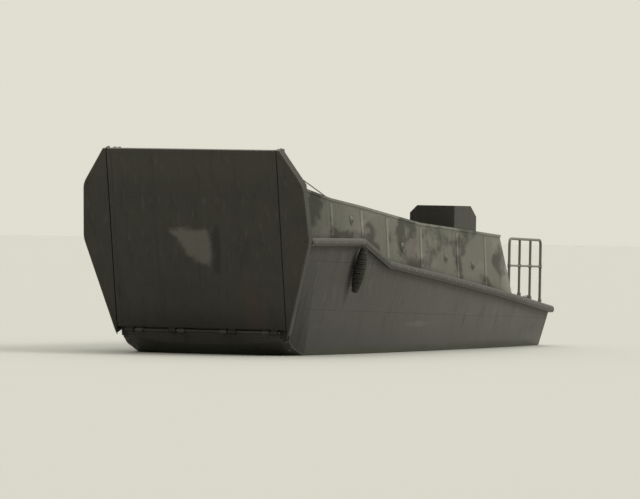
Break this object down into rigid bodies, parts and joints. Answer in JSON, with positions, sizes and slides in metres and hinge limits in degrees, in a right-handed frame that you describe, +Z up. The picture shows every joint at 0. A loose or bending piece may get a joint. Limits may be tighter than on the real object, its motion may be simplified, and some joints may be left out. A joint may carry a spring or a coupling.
{
  "type": "ramped military landing craft",
  "caption": "Open boxy landing craft with a full-width bow ramp hinged at its foot, a long cargo well, a helm and winch aft of it, and a decked stern over one propeller and rudder.",
  "frame": {"origin": "on the water plane the craft floats at, amidships on the centreline", "axes": "+Z up, +Y aft from the bow ramp to the transom, +X to port"},
  "size_m": [3.3126, 11.05, 3.3454],
  "materials": {
    "hull": "weathered matt grey paint on planking",
    "bulwark": "lighter matt grey paint on steel plate",
    "ramp": "dark, worn and wet paint on steel plate",
    "deck": "worn deck paint on boards",
    "steel": "dark paint on fittings, rust at the edges",
    "bronze": "dull bronze",
    "bottom": "dull anti-fouling paint",
    "engine": "painted casting",
    "rope": "weathered rope work"
  },
  "bodies": {
    "hull": {"hull_bottom": "bottom", "headlog": "bottom", "keel_skeg": "bottom", "stern_section": "hull", "transom": "hull", "side_port": "hull", "side_starboard": "hull", "aft_deck": "deck", "cargo_floor": "deck", "machinery_floor": "deck", "coxswain_platform": "deck", "engine_box": "hull", "engine": "engine", "bulwark_port": "bulwark", "bulwark_starboard": "bulwark", "bulkhead": "bulwark", "cockpit_coaming_port": "bulwark", "cockpit_coaming_starboard": "bulwark", "bow_cheek_port": "ramp", "bow_cheek_starboard": "ramp", "coxswain_shield": "ramp", "guard_port": "steel", "guard_starboard": "steel", "guard_stern": "steel", "ramp_hinge": "steel", "steering_stand": "steel", "winch_frame": "steel", "hoisting_eye_fore_port": "steel", "hoisting_eye_fore_starboard": "steel", "hoisting_eye_aft_port": "steel", "hoisting_eye_aft_starboard": "steel", "cleat_port": "steel", "cleat_starboard": "steel", "stern_rail_port": "steel", "stern_rail_starboard": "steel", "towing_post": "steel", "exhaust_pipe": "steel", "rudder_shoe": "steel", "rope_fender": "rope"},
    "ramp": {"ramp_plate": "ramp", "ramp_frame": "ramp", "ramp_deck": "ramp"},
    "winch_drum": {"winch_drum": "steel"},
    "propeller": {"propeller": "bronze"},
    "rudder": {"rudder": "steel"},
    "steering_wheel": {"steering_wheel": "steel"},
    "engine_lid_port": {"engine_lid_port": "hull"},
    "engine_lid_starboard": {"engine_lid_starboard": "hull"},
    "lazarette_lid": {"lazarette_lid": "hull"}
  },
  "joints": [
    {"name": "ramp_hinge", "type": "hinge", "parent": "hull", "child": "ramp", "pos_m": [0, -4.96475, 0.29], "axis": [1, 0, 0], "range_deg": [0, 100]},
    {"name": "winch_turn", "type": "hinge", "parent": "hull", "child": "winch_drum", "pos_m": [0, 1.07, 0.62], "axis": [1, 0, 0], "range_deg": [-2600, 2600]},
    {"name": "propeller_turn", "type": "hinge", "parent": "hull", "child": "propeller", "pos_m": [0, 3.9, -0.4], "axis": [0, 1, 0], "continuous": true},
    {"name": "rudder_turn", "type": "hinge", "parent": "hull", "child": "rudder", "pos_m": [0, 4.56, -0.4], "axis": [0, 0, 1], "range_deg": [-35, 35]},
    {"name": "steering_wheel_turn", "type": "hinge", "parent": "hull", "child": "steering_wheel", "pos_m": [0.88, 0.985, 1.165], "axis": [0, 0.9397, 0.342], "range_deg": [-540, 540]},
    {"name": "engine_lid_port_hinge", "type": "hinge", "parent": "hull", "child": "engine_lid_port", "pos_m": [0.532, 1.7, 1.015], "axis": [0, 1, 0], "range_deg": [0, 110]},
    {"name": "engine_lid_starboard_hinge", "type": "hinge", "parent": "hull", "child": "engine_lid_starboard", "pos_m": [-0.532, 1.7, 1.015], "axis": [0, -1, 0], "range_deg": [0, 110]},
    {"name": "lazarette_lid_hinge", "type": "hinge", "parent": "hull", "child": "lazarette_lid", "pos_m": [0, 4.3, 0.67416], "axis": [1, 0, 0], "range_deg": [0, 110]}
  ],
  "couplings": [
    {"joint": "winch_turn", "follows": "ramp_hinge", "ratio": 25},
    {"joint": "steering_wheel_turn", "follows": "rudder_turn", "ratio": 15}
  ]
}
